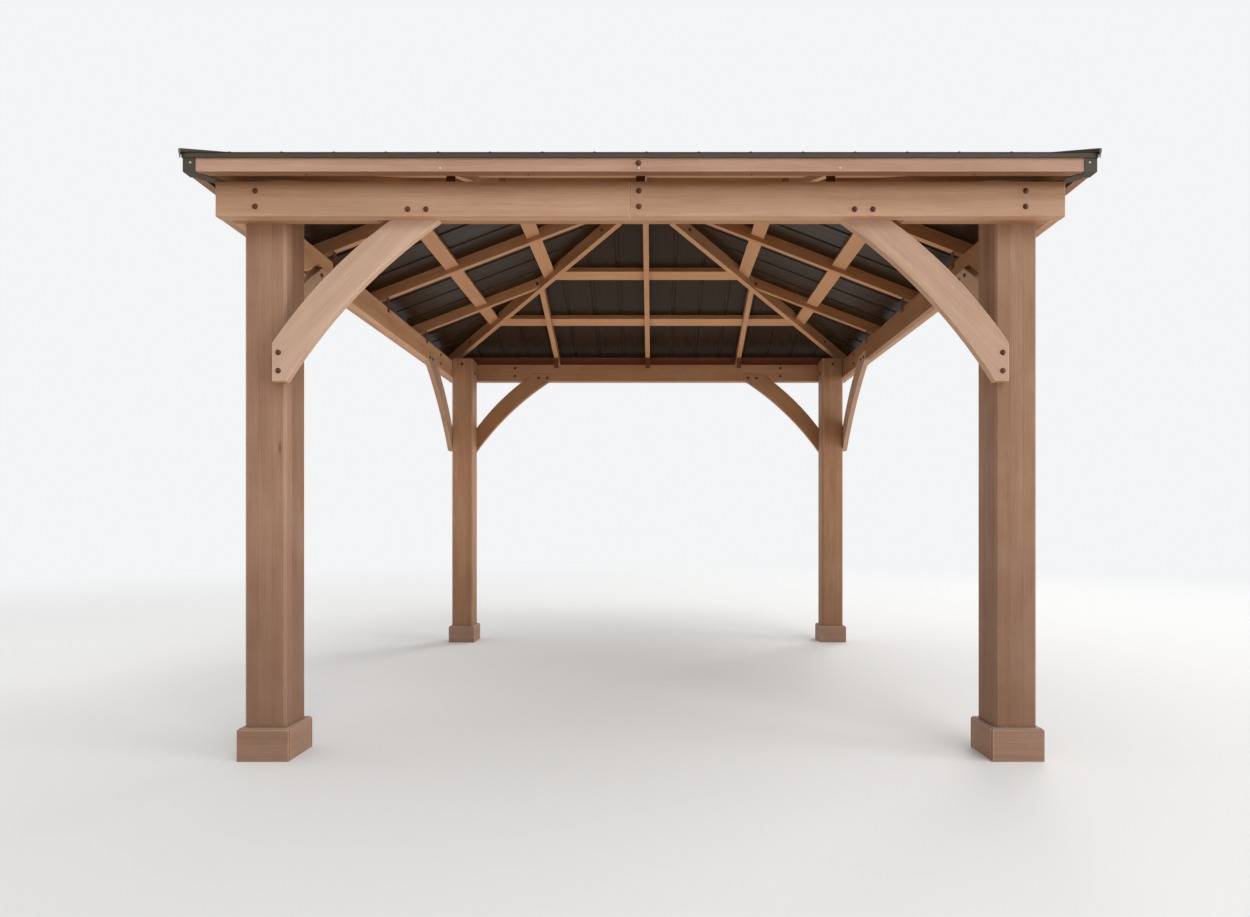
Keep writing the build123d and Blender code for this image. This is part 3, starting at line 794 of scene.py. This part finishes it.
beam_places, brace_places, roof_places = [], [], []
for turn in range(len(SIDES)):
    out, level = outward(turn), along(turn)
    for place in (-POST_CENTRE, BEAM_CENTRE_BOLT, POST_CENTRE):
        for drop in BEAM_BOLT_DROPS:
            beam_places.append((on_side(turn, place, RING_FACE, BEAM_TOP - drop), out))
    roof_places.append((on_side(turn, BEAM_CENTRE_BOLT, FASCIA_FACE, FASCIA_BOTTOM + FASCIA_BOLT_RISE), out))
    for way in (-1, 1):
        for place in BRACE_NOSE_BOLTS:
            brace_places.append((on_side(turn, way * place, RING_FACE, BRACE_NOSE_HEIGHT), out))
            brace_places.append((on_side(turn, way * place, POST_FACE, BRACE_NOSE_HEIGHT), -out))
        at_front = (out + level * way).y < 0
        foot_place = FRONT_FOOT_PLACE if at_front else REAR_FOOT_PLACE
        for height in FRONT_FOOT_HEIGHTS if at_front else REAR_FOOT_HEIGHTS:
            brace_places.append((on_side(turn, way * foot_place, BRACE_FACE, height), out))
        for drop in SPLICE_DROPS:
            beam_places.append((on_side(turn, way * SPLICE_PLACE, POST_FACE, BEAM_TOP - drop), -out))
        # Bolts through the beams come out on the posts' inner faces
        post_drop = POST_BOLT_DROPS[turn % 2]
        beam_places.append((on_side(turn, way * POST_CENTRE, POST_INNER, BEAM_TOP - post_drop), -out))
        # The jack rafters are screwed to the hips through both cheeks
        for cheek in (-1, 1):
            place = RAFTER_SPACING + cheek * HALF_RAFTER
            run = place + HALF_RAFTER * math.sqrt(2) + JACK_BOLT_SETBACK
            centre = on_side(turn, way * place, run, sheet_under(run) - JACK_BOLT_DROP)
            roof_places.append((centre, level * (way * cheek)))
    # Bolts through the hips, from cheek to cheek
    corner = (out + level).normalized()
    for run in HIP_BOLT_RUNS:
        for cheek in (-1, 1):
            normal = (level - out).normalized() * cheek
            centre = corner * (run * math.sqrt(2)) + normal * HALF_RAFTER
            centre.z = sheet_under(run) - HIP_BOLT_DROP
            roof_places.append((centre, normal))

fasteners("bolts_beams", beam_places, BOLT_PROFILE, BOLT_STEPS, bolt_paint)
fasteners("bolts_braces", brace_places, BOLT_PROFILE, BOLT_STEPS, bolt_paint)
fasteners("bolts_roof_frame", roof_places, BOLT_PROFILE, BOLT_STEPS, bolt_paint)

# Small screws in the trim: on the fascias' faces and undersides and on the corner brackets
FASCIA_SCREW_PLACES = (-0.800, BEAM_CENTRE_BOLT, 0.800)
FASCIA_SCREW_RISE = 0.013
UNDER_SCREW_PLACES = (-1.349, -0.45, 0.45, 1.349)
UNDER_SCREW_INSET = 0.030
BRACKET_SCREW_INSET = 0.030
BRACKET_SCREW_RISE = 0.034

trim_places, under_places = [], []
for turn in range(len(SIDES)):
    out = outward(turn)
    for place in FASCIA_SCREW_PLACES:
        trim_places.append((on_side(turn, place, FASCIA_FACE, FASCIA_BOTTOM + FASCIA_SCREW_RISE), out))
    for way in (-1, 1):
        place = way * (BRACKET_FACE - BRACKET_SCREW_INSET)
        trim_places.append((on_side(turn, place, BRACKET_FACE, FASCIA_BOTTOM + BRACKET_SCREW_RISE), out))
    for place in UNDER_SCREW_PLACES:
        centre = on_side(turn, place, FASCIA_FACE - UNDER_SCREW_INSET, FASCIA_BOTTOM)
        under_places.append((centre, (0, 0, -1)))
fasteners("screws_trim", trim_places, SCREW_PROFILE, SCREW_STEPS, screw_zinc_and_glint)
fasteners("screws_fascia_under", under_places, SCREW_PROFILE, SCREW_STEPS, bolt_paint)

# Sealed screws beside the ribs of the sheets, in a row by the eave and one over each purlin
RIB_SPACING = 0.210
SCREW_BY_RIB = 0.026
EAVE_SCREW_INSET = 0.030
PURLIN_RUNS = (1.262, 0.738)
CAP_REACH = 0.105

sheet_places = []
for turn in range(len(SIDES)):
    normal = outward(turn) * math.sin(SLOPE) + Vector((0, 0, math.cos(SLOPE)))
    for run in (EAVE - EAVE_SCREW_INSET, *PURLIN_RUNS):
        reach = int((run - CAP_REACH) / RIB_SPACING)
        for number in range(-reach, reach + 1):
            place = number * RIB_SPACING + SCREW_BY_RIB
            if abs(place) < run - CAP_REACH:
                sheet_places.append((on_side(turn, place, run, sheet_top(run)), normal))
fasteners("screws_roof", sheet_places, ROOF_SCREW_PROFILE, ROOF_SCREW_STEPS, screw_paint)


# Floor, light and camera

BACKGROUND = (0.90, 0.91, 0.92, 1.0)
FLOOR_COLOUR = (0.76, 0.77, 0.78, 1.0)
FLOOR_BOUNCE = (0.92, 0.78, 0.62, 1.0)
FLOOR_ROUGHNESS = 0.9
FLOOR_REACH = 60.0
FADE_START, FADE_END = 5.5, 15.0

# Light from all round: colours from the horizon up, dim and warm below and neutral overhead
SKY_STOPS = (
    (0.0, (0.22, 0.17, 0.12, 1.0)),
    (0.30, (0.48, 0.45, 0.41, 1.0)),
    (0.85, (1.0, 1.0, 1.0, 1.0)),
)
SKY_STRENGTH = 0.92

# Lamps: name, place, height of their target over the origin, size, power and colour
LAMPS = (
    ("key", (10.0, -20.0, 23.0), 1.4, 16.0, 2900.0, (1.0, 0.99, 0.98)),
    ("side", (33.0, -13.0, 5.5), 1.6, 16.0, 7500.0, (1.0, 0.97, 0.93)),
    ("fill", (-30.0, 2.0, 3.5), 1.4, 10.0, 1500.0, (1.0, 0.97, 0.94)),
    ("back", (15.0, 23.0, 18.0), 1.4, 14.0, 2800.0, (1.0, 0.98, 0.95)),
)


def unlit_share(nodes):
    """1 for the rays that show the plain background: straight ones, reflections and refractions."""
    path = nodes.add("ShaderNodeLightPath")
    seen = nodes.plus(path.outputs["Is Camera Ray"], path.outputs["Is Glossy Ray"])
    return nodes.plus(seen, path.outputs["Is Transmission Ray"], clamp=True)


def make_floor():
    """A pale floor that takes the object's shadow, passes into the background further out and throws a
    warm light back up."""
    material, nodes = new_material("floor")
    place = nodes.split(nodes.add("ShaderNodeTexCoord").outputs["Object"])
    square = nodes.plus(nodes.math("POWER", place[0], 2.0), nodes.math("POWER", place[1], 2.0))
    distance = nodes.math("SQRT", square)
    share = nodes.times(nodes.smooth(distance, FADE_START, FADE_END), unlit_share(nodes))
    near = nodes.add("ShaderNodeBsdfPrincipled")
    nodes.link(nodes.mix(unlit_share(nodes), FLOOR_BOUNCE, FLOOR_COLOUR), near.inputs["Base Color"])
    near.inputs["Roughness"].default_value = FLOOR_ROUGHNESS
    far = nodes.add("ShaderNodeEmission")
    far.inputs["Color"].default_value = BACKGROUND
    output = nodes.add("ShaderNodeOutputMaterial")
    nodes.link(nodes.mix_shader(share, near, far).outputs[0], output.inputs[0])

    reach = FLOOR_REACH
    corners = [(-reach, -reach, 0), (reach, -reach, 0), (reach, reach, 0), (-reach, reach, 0)]
    mesh = bpy.data.meshes.new("floor")
    mesh.from_pydata(corners, [], [(0, 1, 2, 3)])
    mesh.materials.append(material)
    floor = bpy.data.objects.new("floor", mesh)
    scene.collection.objects.link(floor)


def make_world():
    """Light from all round, with a plain background for the camera."""
    world = bpy.data.worlds.new("world")
    scene.world = world
    world.use_nodes = True
    nodes = Nodes(world.node_tree)
    height = nodes.split(nodes.add("ShaderNodeTexCoord").outputs["Generated"])[2]
    sky = nodes.add("ShaderNodeBackground")
    nodes.link(nodes.ramp(height, *SKY_STOPS), sky.inputs["Color"])
    sky.inputs["Strength"].default_value = SKY_STRENGTH
    plain = nodes.add("ShaderNodeBackground")
    plain.inputs["Color"].default_value = BACKGROUND
    output = nodes.add("ShaderNodeOutputWorld")
    nodes.link(nodes.mix_shader(unlit_share(nodes), sky, plain).outputs[0], output.inputs[0])


def area_light(name, place, target_height, size, power, colour):
    """A square lamp that points at a height over the origin and that the camera doesn't see."""
    light = bpy.data.lights.new(name, "AREA")
    light.shape = "SQUARE"
    light.size = size
    light.energy = power
    light.color = colour
    lamp = bpy.data.objects.new(name, light)
    lamp.location = place
    aim = Vector((0, 0, target_height)) - Vector(place)
    lamp.rotation_euler = aim.to_track_quat("-Z", "Y").to_euler()
    lamp.visible_camera = False
    scene.collection.objects.link(lamp)


make_floor()
make_world()
for settings in LAMPS:
    area_light(*settings)

# The camera stands where the photograph was taken: level, with its picture shifted up and left. The focal
# length and the principal point are in pixels of the photograph, the sensor in millimetres
CAMERA_PLACE = (0.056, -4.750, 0.984)
PHOTO_WIDTH = 1250.0
PHOTO_HEIGHT = 917.0
FOCAL_PIXELS = 732.0
PRINCIPAL_X = 654.0
PRINCIPAL_Y = 526.7
SENSOR = 36.0

camera_data = bpy.data.cameras.new("camera")
camera_data.sensor_width = SENSOR
camera_data.lens = SENSOR * FOCAL_PIXELS / PHOTO_WIDTH
camera_data.shift_x = (PHOTO_WIDTH / 2 - PRINCIPAL_X) / PHOTO_WIDTH
camera_data.shift_y = (PRINCIPAL_Y - PHOTO_HEIGHT / 2) / PHOTO_WIDTH
camera = bpy.data.objects.new("camera", camera_data)
camera.location = CAMERA_PLACE
camera.rotation_euler = (math.pi / 2, 0, 0)
scene.collection.objects.link(camera)
scene.camera = camera

scene.view_settings.view_transform = "Standard"
